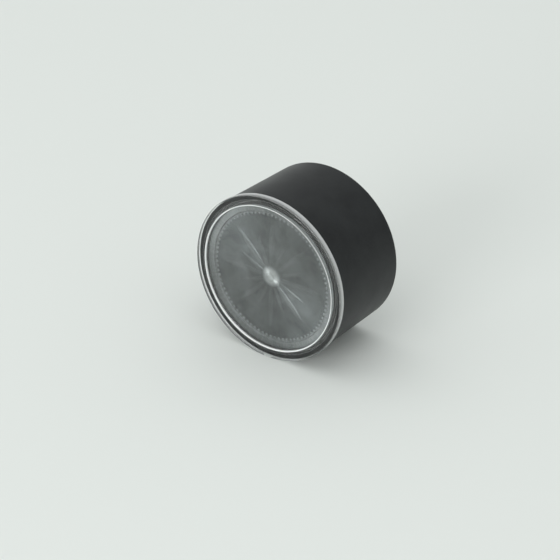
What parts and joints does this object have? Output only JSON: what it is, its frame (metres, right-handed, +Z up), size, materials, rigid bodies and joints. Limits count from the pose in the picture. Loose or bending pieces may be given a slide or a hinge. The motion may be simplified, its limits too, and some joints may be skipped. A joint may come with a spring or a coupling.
{
  "type": "coin capsule",
  "caption": "Deep round coin capsule: a black tapered cup with a clear plug-in lid, a stack of silver coins and a foam pad under them.",
  "frame": {"origin": "middle of the cup's foot, on the capsule's axis", "axes": "+Z up as it lies on its side, +Y along the capsule's axis and out of the cup's foot, so that the lid faces -Y, and +X to the right seen from the lid"},
  "size_m": [0.0348, 0.0202, 0.0348],
  "materials": {
    "black_plastic": "satin, fine moulded grain",
    "clear_plastic": "clear polystyrene, gloss",
    "coin_silver": "struck silver, toned grey in the low places, with cartwheel lustre",
    "black_foam": "closed-cell foam, matte"
  },
  "bodies": {
    "cup": {"base_cup": "black_plastic", "foam_pad": "black_foam"},
    "lid": {"lid": "clear_plastic"},
    "coin_1": {"coin_1": "coin_silver"},
    "coin_2": {"coin_2": "coin_silver"},
    "coin_3": {"coin_3": "coin_silver"},
    "coin_4": {"coin_4": "coin_silver"},
    "coin_5": {"coin_5": "coin_silver"},
    "coin_6": {"coin_6": "coin_silver"},
    "coin_7": {"coin_7": "coin_silver"}
  },
  "joints": [
    {"name": "lid_pull", "type": "slide", "parent": "cup", "child": "lid", "axis": [0, -1, 0], "range_m": [0, 0.054]},
    {"name": "coin_1_slide", "type": "slide", "parent": "cup", "child": "coin_1", "axis": [0, -1, 0], "range_m": [0, 0.01836]},
    {"name": "coin_2_slide", "type": "slide", "parent": "cup", "child": "coin_2", "axis": [0, -1, 0], "range_m": [0, 0.0229]},
    {"name": "coin_3_slide", "type": "slide", "parent": "cup", "child": "coin_3", "axis": [0, -1, 0], "range_m": [0, 0.02743]},
    {"name": "coin_4_slide", "type": "slide", "parent": "cup", "child": "coin_4", "axis": [0, -1, 0], "range_m": [0, 0.03197]},
    {"name": "coin_5_slide", "type": "slide", "parent": "cup", "child": "coin_5", "axis": [0, -1, 0], "range_m": [0, 0.0365]},
    {"name": "coin_6_slide", "type": "slide", "parent": "cup", "child": "coin_6", "axis": [0, -1, 0], "range_m": [0, 0.04104]},
    {"name": "coin_7_slide", "type": "slide", "parent": "cup", "child": "coin_7", "axis": [0, -1, 0], "range_m": [0, 0.04558]}
  ],
  "couplings": [
    {"joint": "coin_1_slide", "follows": "lid_pull", "ratio": 0.34},
    {"joint": "coin_2_slide", "follows": "lid_pull", "ratio": 0.424},
    {"joint": "coin_3_slide", "follows": "lid_pull", "ratio": 0.508},
    {"joint": "coin_4_slide", "follows": "lid_pull", "ratio": 0.592},
    {"joint": "coin_5_slide", "follows": "lid_pull", "ratio": 0.676},
    {"joint": "coin_6_slide", "follows": "lid_pull", "ratio": 0.76},
    {"joint": "coin_7_slide", "follows": "lid_pull", "ratio": 0.844}
  ]
}
